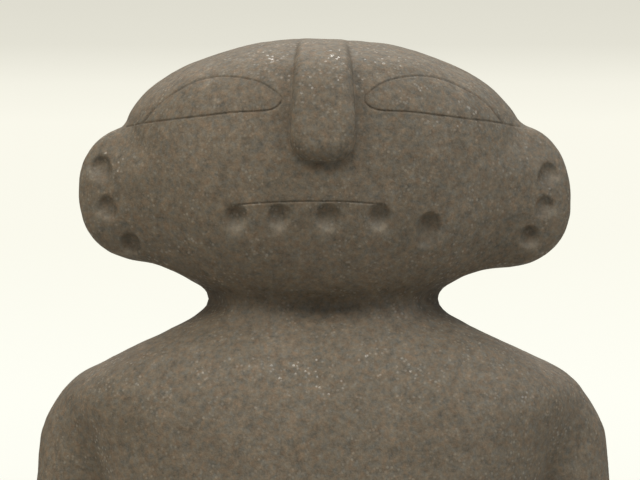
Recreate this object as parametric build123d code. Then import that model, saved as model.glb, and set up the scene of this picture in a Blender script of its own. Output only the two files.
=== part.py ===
"""Stone tiki figure, about half a metre tall, built up from four carved blocks.

The head, torso, legs and base slab are separate stones. Each pair is bedded on a thin
layer of resin and held by two ribbed steel dowels, set in resin in drilled holes.
Rubber pads under the slab carry the figure. Millimetres, +Z up, the face looks along -Y,
and the origin is on the floor under the middle of the slab.
"""

from build123d import *
import math
import os

# ---------------------------------------------------------------- driving dimensions
FIGURE_HEIGHT = 480.0
PAD_THICKNESS = 3.0
BASE_TOP = 36.0  # top face of the base slab
WAIST_JOINT = 185.0  # middle of the resin bed between legs and torso
NECK_JOINT = 348.0  # middle of the resin bed between torso and head
BED = 0.6  # thickness of a resin bed
RING_POINTS = 24  # points round each cross-section
CLEAR = 400.0  # wider than the figure
HEADROOM = 20.0  # how far cutting blocks reach above the crown

# Base slab
BASE_HALF_WIDTH = 100.0
BASE_HALF_DEPTH = 95.0
BASE_POWER = 3.2
BASE_TOP_ROUND = 7.0
BASE_FOOT_ROUND = 2.5

# Trunk, from the hips up to inside the head:
# height, half width, reach to the front, reach to the back
TRUNK = [
    (128.0, 74.0, 44.0, 46.0),
    (150.0, 90.0, 65.0, 57.0),
    (172.0, 95.0, 78.0, 56.0),
    (200.0, 98.0, 83.0, 52.0),
    (228.0, 101.0, 80.5, 50.0),
    (256.0, 108.0, 76.0, 50.0),
    (282.0, 117.5, 73.5, 50.0),
    (300.0, 125.0, 70.0, 49.0),
    (314.0, 119.5, 65.0, 47.0),
    (326.0, 98.0, 60.0, 44.0),
    (338.0, 72.5, 51.5, 40.0),
    (350.0, 56.5, 37.0, 37.0),
    (366.0, 54.0, 31.0, 36.0),
]
TRUNK_POWER = 2.5

# Skull: a rounded dome over a fuller jaw, leaning back towards the crown
SKULL_HEIGHT = 430.0  # widest level
SKULL_HALF_WIDTH = 100.0
SKULL_FRONT = 76.0
SKULL_BACK = 66.0
SKULL_UP = 49.5
SKULL_DOWN = 84.5
SKULL_RING_POWER = 2.4
JAW_POWER = 2.4
DOME_POWER = 2.0
SKULL_LEAN = 0.05
SKULL_LEVELS = [-82, -66, -50, -34, -17, 0, 18, 36, 52, 66, 77]  # profile angles, degrees

# Ears: centre x, centre z, half width, half height, one row per side
EARS = [(-84.5, 404.9, 38.2, 36.6), (86.0, 402.0, 37.9, 37.9)]
EAR_Y = -15.0
EAR_HALF_THICKNESS = 17.0

# Nose: a straight bar that rises out of the crown
NOSE_TIP_HEIGHT = 417.2
NOSE_TIP_HALF_WIDTH = 16.2
NOSE_ROOT_HALF_WIDTH = 12.4
NOSE_PROUD = 6.5
NOSE_PROUD_AT_CROWN = 0.5
NOSE_CORNER = 9.0
NOSE_BACK = 6.0  # the bar ends this far behind the middle of the head

# Cupules: x, z, radius of the mouth of the pit
MOUTH_PITS = [
    (-42.0, 391.7, 6.2),
    (-21.5, 391.6, 6.2),
    (2.2, 391.6, 6.4),
    (27.8, 391.9, 6.2),
    (52.8, 387.1, 6.2),
]
EAR_PITS = [
    (-110.2, 417.5, 6.0),
    (-107.5, 396.3, 5.2),
    (-96.5, 379.2, 4.8),
    (114.0, 414.1, 5.4),
    (111.1, 397.3, 5.0),
    (103.4, 381.2, 4.8),
]
PIT_DEPTH_SHARE = 0.6  # depth as a share of the mouth radius

# Carved lines
LINE_WIDTH = 1.2
LINE_DEPTH = 0.9
MOUTH_LEFT = -41.0
MOUTH_RIGHT = 29.8
MOUTH_HEIGHT = 399.2
MOUTH_DROP = 1.5  # how much lower the ends are than the middle
EYE_LID = [(89.2, 438.5), (75.9, 452.2), (60.2, 460.4), (44.7, 461.9), (30.4, 458.9), (20.5, 451.7)]
EYE_CORNER = [(20.5, 451.7), (20.8, 447.5), (26.3, 444.7)]
EYE_TAIL = (97.5, 436.8)  # the lower line runs on to the side of the head

# Right arm; the left one is its mirror image
SHOULDER = (112.0, 6.0, 277.0)
SHOULDER_RADIUS = 30.0
ELBOW = (124.4, 6.0, 211.0)
ELBOW_RADIUS = 23.0
WRIST = (62.0, -67.0, 214.0)
WRIST_RADIUS = 15.0
HAND_CENTRE = (37.0, -80.0, 215.0)
HAND_SIZE = (54.0, 20.0, 36.0)
HAND_ROUND = 8.0
HAND_TURN = 14.0  # degrees about Z, so that it lies round the belly
FINGER_GROOVES = 3
FINGER_LENGTH = 32.0
FINGER_OFFSET = 13.5  # how far the middle of the fingers is from the middle of the hand
GROOVE_WIDTH = 1.8
GROOVE_DEPTH = 2.2

# Right leg
HIP = (44.0, 4.0, 158.0)
HIP_RADIUS = 42.0
KNEE = (50.0, -32.0, 112.0)
KNEE_RADIUS = 33.0
CALF_RADIUS = 32.3
ANKLE = (46.0, 6.0, 58.0)
ANKLE_RADIUS = 24.0
FOOT_CENTRE = (47.0, -22.0, 44.0)
FOOT_SIZE = (48.0, 96.0, 34.0)
FOOT_ROUND = 11.0
TOE_GROOVES = 4
BUTTOCK_CENTRE = (38.0, 31.0, 150.0)
BUTTOCK_RADII = (37.0, 31.0, 34.0)

# Dowels: name, x of the right one, y, middle height, radius, length
DOWELS = [
    ("neck", 24.0, 2.0, NECK_JOINT, 6.0, 90.0),
    ("waist", 42.0, -8.0, WAIST_JOINT, 6.0, 100.0),
    ("ankle", 46.0, 2.0, BASE_TOP, 5.0, 52.0),
]
DOWEL_CHAMFER = 1.0
RIB_PITCH = 8.0
RIB_GROOVE_DEPTH = 0.6
RIB_GROOVE_WIDTH = 2.0
RIB_CUTTER_MARGIN = 1.0
RESIN_WALL = 1.5  # resin between the dowel and its hole
RESIN_END = 1.5  # resin past each end of the dowel

# Pads
PAD_RADIUS = 12.0
PAD_X = 68.0
PAD_Y = 62.0


# ---------------------------------------------------------------- shapes
def signed_power(value, power):
    return math.copysign(abs(value) ** power, value)


def ring(half_width, front, back, power, z, y=0.0):
    """A closed superellipse at height z whose front and back halves differ in reach."""
    points = []
    for i in range(RING_POINTS):
        angle = 2 * math.pi * i / RING_POINTS
        x = half_width * signed_power(math.cos(angle), 2 / power)
        reach = back if math.sin(angle) > 0 else front
        points.append((x, y + reach * signed_power(math.sin(angle), 2 / power), z))
    return Wire([Spline(*points, periodic=True)])


def skull_share(z, up, down):
    """Width of the skull at height z as a share of its greatest width."""
    if z >= SKULL_HEIGHT:
        rise, power = (z - SKULL_HEIGHT) / up, DOME_POWER
    else:
        rise, power = (SKULL_HEIGHT - z) / down, JAW_POWER
    return max(0.0, 1 - rise**power) ** (1 / power)


def skull_lean(z):
    return SKULL_LEAN * (z - SKULL_HEIGHT)


def skull_form(grow, grow_up):
    """The skull, with its walls moved out by grow and its crown raised by grow_up."""
    up, down = SKULL_UP + grow_up, SKULL_DOWN + grow
    rings = []
    for level in SKULL_LEVELS:
        angle = math.radians(level)
        power = DOME_POWER if level > 0 else JAW_POWER
        reach = up if level > 0 else down
        z = SKULL_HEIGHT + reach * signed_power(math.sin(angle), 2 / power)
        share = math.cos(angle) ** (2 / power)
        rings.append(
            ring(
                share * (SKULL_HALF_WIDTH + grow),
                share * (SKULL_FRONT + grow),
                share * (SKULL_BACK + grow),
                SKULL_RING_POWER,
                z,
                skull_lean(z),
            )
        )
    crown = SKULL_HEIGHT + up
    chin = SKULL_HEIGHT - down
    ends = [Vertex(0, skull_lean(z), z) for z in (chin, crown)]
    return Solid.make_loft([ends[0], *rings, ends[1]])


def skull_front(x, z):
    """The y of the skull's front surface at x and z."""
    share = skull_share(z, SKULL_UP, SKULL_DOWN)
    across = abs(x) / SKULL_HALF_WIDTH
    inside = max(0.0, share**SKULL_RING_POWER - across**SKULL_RING_POWER)
    return skull_lean(z) - SKULL_FRONT * inside ** (1 / SKULL_RING_POWER)


def ear_front(x, z):
    """The y of the front surface of the ear on the same side as x."""
    centre_x, centre_z, half_width, half_height = EARS[0 if x < 0 else 1]
    across = ((x - centre_x) / half_width) ** 2 + ((z - centre_z) / half_height) ** 2
    return EAR_Y - EAR_HALF_THICKNESS * math.sqrt(max(0.0, 1 - across))


def ellipsoid(centre, radii):
    return Pos(*centre) * scale(Sphere(1.0), by=radii)


def bone(start, start_radius, end, end_radius):
    """Two balls and the cone that is tangent to both, as for a limb."""
    first, last = Vector(*start), Vector(*end)
    along = last - first
    slope = (start_radius - end_radius) / along.length
    flare = math.sqrt(1 - slope * slope)
    step = along.normalized()
    base = first + step * (start_radius * slope)
    top = last + step * (end_radius * slope)
    cone = Solid.make_cone(
        start_radius * flare,
        end_radius * flare,
        (top - base).length,
        Plane(origin=base, z_dir=step),
    )
    balls = [Pos(*start) * Sphere(start_radius), Pos(*end) * Sphere(end_radius)]
    return Part() + cone + balls


def rounded_box(size, radius):
    box = Box(*size)
    return fillet(box.edges(), radius)


def grooves(count, pitch, length, direction):
    """Parallel V grooves, side by side along X or Z, open towards -Y."""
    half = GROOVE_WIDTH / 2
    proud = GROOVE_WIDTH  # the cutter starts this far outside the surface
    profile = [(-half, -proud), (half, -proud), (half, 0), (0, GROOVE_DEPTH), (-half, 0)]
    cutters = []
    for i in range(count):
        offset = (i - (count - 1) / 2) * pitch
        if direction == "x":
            outline = Polygon(*[(into, across + offset) for across, into in profile], align=None)
            cutters.append(extrude(Plane.YZ * outline, amount=length / 2, both=True))
        else:
            outline = Polygon(*[(across + offset, into) for across, into in profile], align=None)
            cutters.append(extrude(outline, amount=length / 2, both=True))
    return cutters


# ---------------------------------------------------------------- body parts
def make_trunk():
    rings = [ring(width, front, back, TRUNK_POWER, z) for z, width, front, back in TRUNK]
    return Solid.make_loft(rings)


def make_nose():
    """The bar is the part of a slightly larger skull that lies inside a tapered outline."""
    outline = Polygon(
        (-NOSE_TIP_HALF_WIDTH, NOSE_TIP_HEIGHT),
        (NOSE_TIP_HALF_WIDTH, NOSE_TIP_HEIGHT),
        (NOSE_ROOT_HALF_WIDTH, FIGURE_HEIGHT + NOSE_PROUD),
        (-NOSE_ROOT_HALF_WIDTH, FIGURE_HEIGHT + NOSE_PROUD),
        align=None,
    )
    tip_corners = outline.vertices().sort_by(Axis.Y)[:2]
    outline = fillet(tip_corners, NOSE_CORNER)
    depth = SKULL_FRONT + 2 * NOSE_PROUD
    prism = extrude(Plane.XZ * outline, amount=depth) + extrude(Plane.XZ * outline, amount=-NOSE_BACK)
    return prism & skull_form(NOSE_PROUD, NOSE_PROUD_AT_CROWN)


def pit_cutter(x, z, radius, surface):
    depth = radius * PIT_DEPTH_SHARE
    ball = (radius * radius + depth * depth) / (2 * depth)
    y = surface(x, z)
    return Pos(x, y - (ball - depth), z) * Sphere(ball)


def eye_outline(side):
    """Centre line of one carved eye, in the plane of the face: a long leaf, round inside."""
    lid = Spline(*[(side * x, z) for x, z in EYE_LID])
    corner = Spline(*[(side * x, z) for x, z in EYE_CORNER])
    lower = Line((side * EYE_CORNER[-1][0], EYE_CORNER[-1][1]), (side * EYE_LID[0][0], EYE_LID[0][1]))
    return Curve() + [lid, corner, lower]


def eye_tail(side):
    outer_x, outer_z = EYE_LID[0]
    return Line((side * outer_x, outer_z), (side * EYE_TAIL[0], EYE_TAIL[1]))


def mouth_line():
    middle = (MOUTH_LEFT + MOUTH_RIGHT) / 2
    ends = MOUTH_HEIGHT - MOUTH_DROP
    return Spline((MOUTH_LEFT, ends), (middle, MOUTH_HEIGHT), (MOUTH_RIGHT, ends))


def line_cutter(path):
    """A thin wall that stands along a line of the face, from the front back to mid-head."""
    strip = trace(path, LINE_WIDTH)
    return extrude(Plane.XZ * strip, amount=SKULL_FRONT + NOSE_PROUD * 2)


def make_head():
    skull = skull_form(0, 0)
    head = Part() + skull + make_nose()
    for x, z, half_width, half_height in EARS:
        head += ellipsoid((x, EAR_Y, z), (half_width, EAR_HALF_THICKNESS, half_height))
    core = skull_form(-LINE_DEPTH, -LINE_DEPTH)
    eyes = [draw(side) for side in (-1, 1) for draw in (eye_outline, eye_tail)]
    for path in [*eyes, mouth_line()]:
        head -= line_cutter(path) - core
    for x, z, radius in MOUTH_PITS:
        head -= pit_cutter(x, z, radius, skull_front)
    for x, z, radius in EAR_PITS:
        head -= pit_cutter(x, z, radius, ear_front)
    return head


def make_arm():
    hand = Rot(0, 0, HAND_TURN) * rounded_box(HAND_SIZE, HAND_ROUND)
    cutters = grooves(FINGER_GROOVES, HAND_SIZE[2] / (FINGER_GROOVES + 1), FINGER_LENGTH, "x")
    for cutter in cutters:
        hand -= Rot(0, 0, HAND_TURN) * Pos(-FINGER_OFFSET, -HAND_SIZE[1] / 2, 0) * cutter
    upper = bone(SHOULDER, SHOULDER_RADIUS, ELBOW, ELBOW_RADIUS)
    lower = bone(ELBOW, ELBOW_RADIUS, WRIST, WRIST_RADIUS)
    return upper + lower + Pos(*HAND_CENTRE) * hand


def make_leg():
    foot = rounded_box(FOOT_SIZE, FOOT_ROUND)
    cutters = grooves(TOE_GROOVES, FOOT_SIZE[0] / (TOE_GROOVES + 1), FOOT_SIZE[2], "z")
    for cutter in cutters:
        foot -= Pos(0, -FOOT_SIZE[1] / 2, 0) * cutter
    thigh = bone(HIP, HIP_RADIUS, KNEE, KNEE_RADIUS)
    shin = bone(KNEE, CALF_RADIUS, ANKLE, ANKLE_RADIUS)
    return thigh + shin + Pos(*FOOT_CENTRE) * foot


def make_base():
    outline = ring(BASE_HALF_WIDTH, BASE_HALF_DEPTH, BASE_HALF_DEPTH, BASE_POWER, PAD_THICKNESS)
    slab = extrude(Face(outline), amount=BASE_TOP - PAD_THICKNESS, dir=(0, 0, 1))
    slab = fillet(slab.edges().group_by(Axis.Z)[-1], BASE_TOP_ROUND)
    return fillet(slab.edges().group_by(Axis.Z)[0], BASE_FOOT_ROUND)


def make_dowel(radius, length):
    """A round bar with chamfered ends and shallow ring grooves that key into the resin."""
    bar = chamfer(Cylinder(radius, length).edges().filter_by(GeomType.CIRCLE), DOWEL_CHAMFER)
    count = int((length - 2 * RIB_PITCH) / RIB_PITCH)
    for i in range(count + 1):
        z = (i - count / 2) * RIB_PITCH
        band = Cylinder(radius + RIB_CUTTER_MARGIN, RIB_GROOVE_WIDTH)
        band -= Cylinder(radius - RIB_GROOVE_DEPTH, RIB_GROOVE_WIDTH)
        bar -= Pos(0, 0, z) * band
    return bar


def between(low, high):
    """A block wider than the figure, from one height to another."""
    return Pos(0, 0, (low + high) / 2) * Box(CLEAR, CLEAR, high - low)


def save(shape, name):
    export_step(shape, f"parts/{name}.step")


def main():
    os.makedirs("parts", exist_ok=True)
    half_bed = BED / 2
    sole = BASE_TOP + BED

    trunk = Part() + make_trunk()
    arm, leg = make_arm(), make_leg()
    buttock = ellipsoid(BUTTOCK_CENTRE, BUTTOCK_RADII)
    chest = trunk & between(WAIST_JOINT + half_bed, NECK_JOINT - half_bed)
    lower = trunk + leg + mirror(leg, about=Plane.YZ)
    lower += [buttock, mirror(buttock, about=Plane.YZ)]

    stones = {
        "head_block": (make_head() + trunk) & between(NECK_JOINT + half_bed, FIGURE_HEIGHT + HEADROOM),
        "torso_block": chest + arm + mirror(arm, about=Plane.YZ),
        "legs_block": lower & between(sole, WAIST_JOINT - half_bed),
        "base_slab": make_base(),
    }
    beds = {
        "neck_joint_resin": trunk & between(NECK_JOINT - half_bed, NECK_JOINT + half_bed),
        "waist_joint_resin": trunk & between(WAIST_JOINT - half_bed, WAIST_JOINT + half_bed),
    }
    soles = leg & between(BASE_TOP, sole)
    beds["right_sole_resin"] = soles
    beds["left_sole_resin"] = mirror(soles, about=Plane.YZ)

    for joint, x, y, middle, radius, length in DOWELS:
        for side, sign in (("right", 1), ("left", -1)):
            place = Pos(sign * x, y, middle)
            dowel = place * make_dowel(radius, length)
            hole = place * Cylinder(radius + RESIN_WALL, length + 2 * RESIN_END)
            for name in stones:
                stones[name] -= hole
            bed = f"{side}_sole_resin" if joint == "ankle" else f"{joint}_joint_resin"
            beds[bed] = beds[bed] + hole - dowel
            save(dowel, f"{side}_{joint}_dowel")

    for name, shape in {**stones, **beds}.items():
        save(shape, name)

    pad = Cylinder(PAD_RADIUS, PAD_THICKNESS, align=(Align.CENTER, Align.CENTER, Align.MIN))
    for side, x in (("right", PAD_X), ("left", -PAD_X)):
        for end, y in (("front", -PAD_Y), ("back", PAD_Y)):
            save(Pos(x, y, 0) * pad, f"{end}_{side}_pad")


main()
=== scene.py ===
"""Looks of the stone tiki figure: carved stones, resin, steel and rubber on a pale floor.

The stones are carved out of one smooth distance field. It blends the skull, ears, trunk and
limbs of the CAD, and presses the pits into them. The field's skin is meshed, refined where
the carving is fine, given its incised lines and slight unevenness, and then cut at the
joints between the stones. Sizes in the field are millimetres, and meshes are metres.
"""

import math

import bmesh
import bpy
import numpy as np
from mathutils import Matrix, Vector


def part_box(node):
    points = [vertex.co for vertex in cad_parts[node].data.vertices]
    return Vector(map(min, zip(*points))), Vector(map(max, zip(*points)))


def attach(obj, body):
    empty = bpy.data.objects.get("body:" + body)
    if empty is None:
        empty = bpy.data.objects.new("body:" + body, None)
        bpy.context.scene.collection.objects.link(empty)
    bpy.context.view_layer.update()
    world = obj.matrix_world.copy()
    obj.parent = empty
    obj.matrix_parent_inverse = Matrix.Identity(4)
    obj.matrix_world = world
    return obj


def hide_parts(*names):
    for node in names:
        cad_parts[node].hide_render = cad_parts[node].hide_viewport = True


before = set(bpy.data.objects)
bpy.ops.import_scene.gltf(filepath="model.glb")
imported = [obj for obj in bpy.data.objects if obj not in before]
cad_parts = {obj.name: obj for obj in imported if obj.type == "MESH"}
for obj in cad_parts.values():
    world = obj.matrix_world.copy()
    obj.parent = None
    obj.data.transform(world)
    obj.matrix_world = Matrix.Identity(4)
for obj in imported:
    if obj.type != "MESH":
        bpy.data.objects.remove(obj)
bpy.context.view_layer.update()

MM = 0.001
FAR = 1000.0  # field value where a form is too far away to matter


def box_mm(node):
    """The lower and upper corner of a node's box in the frame."""
    low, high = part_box(node)
    return [v / MM for v in low], [v / MM for v in high]


# ------------------------ sizes from the frame
HEAD_LOW, HEAD_HIGH = box_mm("head_block")
TORSO_LOW, TORSO_HIGH = box_mm("torso_block")
LEGS_LOW, LEGS_HIGH = box_mm("legs_block")
SLAB_LOW, SLAB_HIGH = box_mm("base_slab")
PAD_NODES = [f"{end}_{side}_pad" for end in ("front", "back") for side in ("left", "right")]
CROWN = HEAD_HIGH[2]

# Skull
SKULL_HEIGHT = 430.0
SKULL_HALF_WIDTH = 99.8
SKULL_FRONT = 76.0
SKULL_BACK = 66.0
SKULL_UP = 51.7
SKULL_DOWN = 84.5
SKULL_RING_POWER = 2.4
JAW_POWER = 2.4
DOME_POWER = 1.9
DOME_TILT = 0.009  # the crown is a little higher on the left
DOME_CAP = 480.2  # the crown is worn flat at this height
SKULL_LEAN = 0.05
JAW_TUCK = 0.12  # how far the jaw draws back towards the chin, as a share
CHIN_DROP = 7.0  # the chin hangs lower at the front than at the sides
BROW_FULLNESS = 0.5  # the forehead stays forward before it turns over, as a share

# Ears: centre x, centre z, half width, reach up, reach down
EARS = [(-84.5, 404.3, 37.2, 34.3, 34.6), (86.0, 401.0, 37.2, 38.0, 34.2)]
EAR_POWER = 2.3
EAR_RIM_POWER = 3.2  # the front and back are flatter than an ellipsoid
EAR_Y = -15.0
EAR_HALF_THICKNESS = 17.0

# Nose bar
NOSE_TIP_HEIGHT = 418.4
NOSE_TIP_HALF_WIDTH = 16.8
NOSE_ROOT_HALF_WIDTH = 13.5
NOSE_PROUD = 8.0
NOSE_PROUD_AT_CROWN = 1.0
NOSE_CORNER = 12.5
NOSE_BACK = 12.0

# Pits: x, z, radius, how far down and aside the shallow end runs
MOUTH_PITS = [
    (-43.3, 390.8, 6.6, 2.4, 0.0),
    (-21.6, 390.9, 6.6, 2.4, 0.0),
    (2.4, 390.8, 6.7, 2.8, 0.0),
    (28.0, 390.9, 6.6, 2.6, 0.0),
    (53.4, 386.8, 6.3, 7.5, -0.8),
]
EAR_PITS = [
    (-112.2, 418.4, 6.3, 3.6, 1.2),
    (-108.2, 397.0, 5.6, 3.2, 1.2),
    (-96.0, 378.2, 5.2, 2.6, 0.6),
    (114.2, 414.8, 5.6, 3.4, -1.5),
    (111.2, 397.6, 4.9, 3.0, -1.0),
    (103.3, 381.6, 5.2, 2.4, -0.5),
]
PIT_BALL = 1.20  # radius of the ball that presses a pit, as a share of the pit's radius
DEEP_STANDOFF = 0.80  # how far the ball's centre stays in front of the skin, as such a share
SHALLOW_STANDOFF = 0.98  # the same where the pit is shallow
PIT_RIM_SOFTNESS = 0.8

# Incised lines, drawn in the plane of the face
EYE_LID = [(89.2, 438.0), (83.0, 445.2), (75.9, 450.9), (60.2, 458.8), (44.7, 460.4), (30.4, 457.4)]
EYE_CORNER = [(20.8, 450.6), (21.2, 446.4), (27.5, 443.4)]
EYE_LOWER = [(43.4, 442.6), (67.0, 440.1)]
EYE_TAIL = (97.6, 436.4)
MOUTH = [(-41.0, 397.7), (-23.0, 398.8), (-5.5, 399.2), (12.0, 398.9), (29.8, 397.7)]
LINE_WIDTH = 0.45  # from a line's middle to where it has a third of its depth left
LOWER_LID_DEPTH = 0.62
LID_FADING = 0.22  # how much shallower the upper lid is
EYE_RECESS = 0.10
RECESS_WIDTH = 2.0
TAIL_DEPTH = 0.4
TAIL_WIDTH = 0.5
MOUTH_DEPTH = 0.5

# Trunk: height, half width, reach to the front, reach to the back
TRUNK = [
    (108.0, 8.0, 5.0, 5.0),
    (114.0, 38.0, 24.0, 25.0),
    (120.0, 56.0, 35.0, 37.0),
    (130.0, 76.0, 47.0, 48.0),
    (150.0, 91.0, 66.0, 57.0),
    (172.0, 96.0, 79.0, 56.0),
    (200.0, 99.0, 84.0, 52.0),
    (228.0, 102.0, 81.0, 50.0),
    (256.0, 109.0, 76.0, 50.0),
    (282.0, 117.5, 74.0, 50.0),
    (296.0, 125.5, 71.5, 49.0),
    (306.0, 125.5, 68.3, 48.0),
    (314.0, 119.5, 65.0, 46.5),
    (320.0, 109.5, 62.0, 45.5),
    (326.0, 98.0, 58.7, 44.0),
    (338.0, 72.5, 49.8, 40.0),
    (345.0, 59.0, 41.0, 38.0),
    (350.0, 56.5, 33.0, 37.0),
    (366.0, 54.0, 28.0, 36.0),
    (385.0, 45.0, 26.0, 30.0),
    (400.0, 36.0, 24.0, 24.0),
]
TRUNK_POWER = 2.75
BELLY_BOTTOM = 150.0  # below this the trunk closes fast, and its field must not reach the knees
TRUNK_SOFTNESS = 4.0

# Limbs of one side; the other is its mirror image
SHOULDER, ELBOW, WRIST = (112.0, 6.0, 277.0), (124.4, 6.0, 211.0), (62.0, -67.0, 214.0)
ARM_RADII = (30.0, 23.0, 15.0)
HAND = (34.0, -80.0, 215.0)
HAND_TURN = math.radians(14.0)
FINGER_PITCH = 8.7
HIP, KNEE, ANKLE = (44.0, 4.0, 158.0), (50.0, -32.0, 112.0), (46.0, 6.0, 58.0)
LEG_RADII = (42.0, 33.0, 24.0)
FOOT = (47.0, -22.0, 42.0)
TOE_PITCH = 9.4
BUTTOCK, BUTTOCK_RADII = (38.0, 31.0, 150.0), (37.0, 31.0, 34.0)

# How soft the fillets between the forms are
EAR_FILLET = 4.0
LOBE_FILLET = 7.0  # added at the lower end of the ear
FLANK_FILLET = 28.0  # added in front of the ear's rim and behind it
NOSE_FILLET = 0.7
CROWN_FILLET = 3.0
ARM_FILLET = 5.0
SHOULDER_FILLET = 13.0  # added up at the shoulder
ELBOW_FILLET = 7.0
HAND_FILLET = 4.0
FINGER_FILLET = 2.0
KNEE_FILLET = 10.0
HIP_FILLET = 12.0
ANKLE_FILLET = 8.0
NAPE_FILLET = 8.0
JAW_FILLET = 15.0  # added in front, on both sides of the chin

SLAB_POWER = 3.2
SLAB_EDGE = 7.0  # radius of the worn upper edge
SLAB_FOOT_EDGE = 2.5
SOCKETS = [(24.0, 2.0, "neck"), (42.0, -8.0, "waist"), (46.0, 2.0, "ankle")]  # x, y and joint
RESIN_WALL = 1.5
SEAM_DEPTH = 0.45  # the waist joint shows as a shallow groove
SEAM_WIDTH = 1.3


# ------------------------ field tools
def blend(a, b, softness):
    """Union of two forms with a fillet."""
    overlap = np.maximum(softness - np.abs(a - b), 0) / softness
    return np.minimum(a, b) - overlap * overlap * softness / 4


def carve(a, b, softness):
    """What is inside both forms, with a rounded edge."""
    return -blend(-a, -b, softness)


def ease(value):
    """0 below 0, 1 above 1, and a smooth rise between."""
    value = np.clip(value, 0, 1)
    return value * value * (3 - 2 * value)


def soft_line(away, strength, width):
    """How strong a soft-edged line is at a distance from its middle."""
    return strength * np.exp(-((away / width) ** 2))


def near(points, low, high, form):
    """The form's field inside a box, and FAR outside it."""
    inside = np.all((points > low) & (points < high), axis=1)
    values = np.full(len(points), FAR)
    if inside.any():
        values[inside] = form(points[inside])
    return values


def section(x, y, half_width, reach, power):
    """How far out a point is in a superellipse, as a ratio, with the ratio's slopes."""
    u, v = np.abs(x) / half_width, np.abs(y) / reach
    ratio = (u**power + v**power + 1e-12) ** (1 / power)
    slope_x = (u / ratio) ** (power - 1) / half_width
    slope_y = (v / ratio) ** (power - 1) / reach
    return ratio, slope_x, slope_y


def bone(points, start, start_radius, end, end_radius):
    """Two balls and the cone that is tangent to both."""
    start, along = np.array(start), np.subtract(end, start)
    length2 = along @ along
    taper = start_radius - end_radius
    flat2 = length2 - taper * taper
    from_start = points - start
    run = from_start @ along
    past = run - length2
    across2 = ((from_start * length2 - np.outer(run, along)) ** 2).sum(1)
    run2, past2 = run * run * length2, past * past * length2
    cone = (np.sqrt(across2 * flat2 / length2) + run * taper) / length2 - start_radius
    edge = np.sign(taper) * taper * taper * across2
    first = np.sqrt(across2 + run2) / length2 - start_radius
    last = np.sqrt(across2 + past2) / length2 - end_radius
    values = np.where(np.sign(run) * flat2 * run2 < edge, first, cone)
    return np.where(np.sign(past) * flat2 * past2 > edge, last, values)


def bent_limb(points, joints, radii, softness):
    """Two bones that share a ball, with a fillet only on the inside of the bend."""
    start, bend, end = np.array(joints)
    inwards = (start - bend) / np.linalg.norm(start - bend) + (end - bend) / np.linalg.norm(end - bend)
    inside = ease((points - bend) @ inwards / (np.linalg.norm(inwards) * radii[1]))
    first = bone(points, start, radii[0], bend, radii[1])
    second = bone(points, bend, radii[1], end, radii[2])
    return blend(first, second, 0.5 + softness * inside)


def ellipsoid(points, centre, radii):
    """Distance to an ellipsoid, true near its skin."""
    local = points - centre
    reach = np.linalg.norm(local / radii, axis=1)
    slope = np.linalg.norm(local / np.square(radii), axis=1) + 1e-9
    return reach * (reach - 1) / slope


def rounded_box(points, half_size, radius):
    """Distance to a box round the origin with rounded edges."""
    beyond = np.abs(points) - half_size + radius
    outside = np.linalg.norm(np.maximum(beyond, 0), axis=1)
    return outside + np.minimum(beyond.max(1), 0) - radius


def waves(points, wavelength, count, seed):
    """Smooth unevenness of about unit strength, made of plane waves."""
    rng = np.random.default_rng(seed)
    total = np.zeros(len(points))
    for _ in range(count):
        direction = rng.normal(size=3)
        direction *= 2 * math.pi / (np.linalg.norm(direction) * wavelength * rng.uniform(0.7, 1.5))
        total += np.sin(points @ direction + rng.uniform(0, 2 * math.pi))
    return total / math.sqrt(count / 2)


# ------------------------ forms of the body
def skull(points, grow=0.0, grow_up=0.0):
    """A broad egg, with a dome above its widest level and a jaw below it."""
    x, y, z = points.T
    rise = z - SKULL_HEIGHT
    y = y - SKULL_LEAN * rise
    rise = rise + DOME_TILT * x * ease(rise / 20)
    tuck = 1 - JAW_TUCK * np.minimum(rise / SKULL_DOWN, 0) ** 2
    brow = 1 + BROW_FULLNESS * np.clip(rise / SKULL_UP, 0, 1) ** 2
    reach = np.where(y < 0, SKULL_FRONT * tuck * brow, SKULL_BACK) + grow
    chin = SKULL_DOWN + CHIN_DROP * ease((-15 - y) / 40)
    ring, slope_x, slope_y = section(x, y, SKULL_HALF_WIDTH + grow, reach, SKULL_RING_POWER)
    height = np.where(rise > 0, SKULL_UP + grow_up, chin + grow)
    power = np.where(rise > 0, DOME_POWER, JAW_POWER)
    level = np.abs(rise) / height
    ratio = (ring**power + level**power + 1e-12) ** (1 / power)
    from_ring = (ring / ratio) ** (power - 1)
    from_level = (level / ratio) ** (power - 1)
    slope_x, slope_y = from_ring * slope_x, from_ring * slope_y
    slope_z = from_level * np.sign(rise) / height - slope_y * np.sign(y) * SKULL_LEAN
    return (ratio - 1) / np.sqrt(slope_x**2 + slope_y**2 + slope_z**2)


def ear(points, x, height, half_width, up, down):
    """A flat round flange, fuller than an ellipse."""
    local = points - (x, EAR_Y, height)
    reach = np.where(local[:, 2] > 0, up, down)
    ratio, slope_x, slope_z = section(local[:, 0], local[:, 2], half_width, reach, EAR_POWER)
    thick = np.abs(local[:, 1]) / EAR_HALF_THICKNESS
    size = (ratio**EAR_RIM_POWER + thick**EAR_RIM_POWER + 1e-12) ** (1 / EAR_RIM_POWER)
    flat, across = (ratio / size) ** (EAR_RIM_POWER - 1), (thick / size) ** (EAR_RIM_POWER - 1)
    slope = np.sqrt((flat * slope_x) ** 2 + (flat * slope_z) ** 2 + (across / EAR_HALF_THICKNESS) ** 2)
    return (size - 1) / (slope + 1e-9)


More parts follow.
